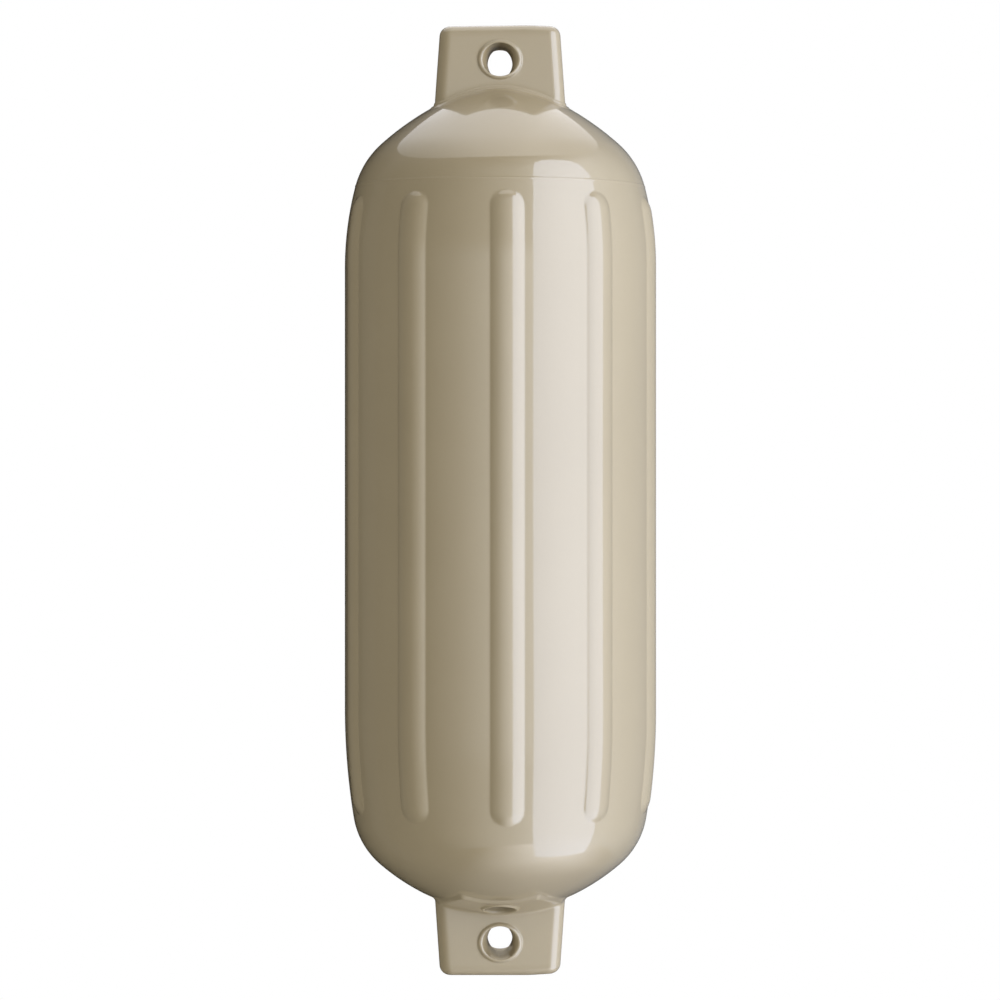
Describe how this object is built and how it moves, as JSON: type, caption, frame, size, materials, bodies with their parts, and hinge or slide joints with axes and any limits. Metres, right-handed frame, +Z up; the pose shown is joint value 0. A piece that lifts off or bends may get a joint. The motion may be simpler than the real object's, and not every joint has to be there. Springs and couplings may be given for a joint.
{
  "type": "boat fender",
  "caption": "Inflatable vinyl boat fender: a ribbed barrel with domed ends, a flat ear with a rope eye at each end, and a screw valve in a recess beside the lower ear.",
  "frame": {"origin": "middle of the bounding box, on the fender's axis halfway between the tips of its two ears", "axes": "+Z up along the fender as it hangs by its upper eye; the rope eyes run along Y; the valve faces the front, -Y, beside the lower ear"},
  "size_m": [0.2242, 0.2308, 0.678],
  "materials": {
    "vinyl": "glossy sand-coloured soft vinyl",
    "bush_plastic": "satin black nylon",
    "screw_plastic": "satin pale grey plastic",
    "seal_rubber": "matt black rubber"
  },
  "bodies": {
    "root": {"fender_body": "vinyl", "valve_seat": "bush_plastic", "valve_screw": "screw_plastic", "screw_seal": "seal_rubber"}
  },
  "joints": []
}
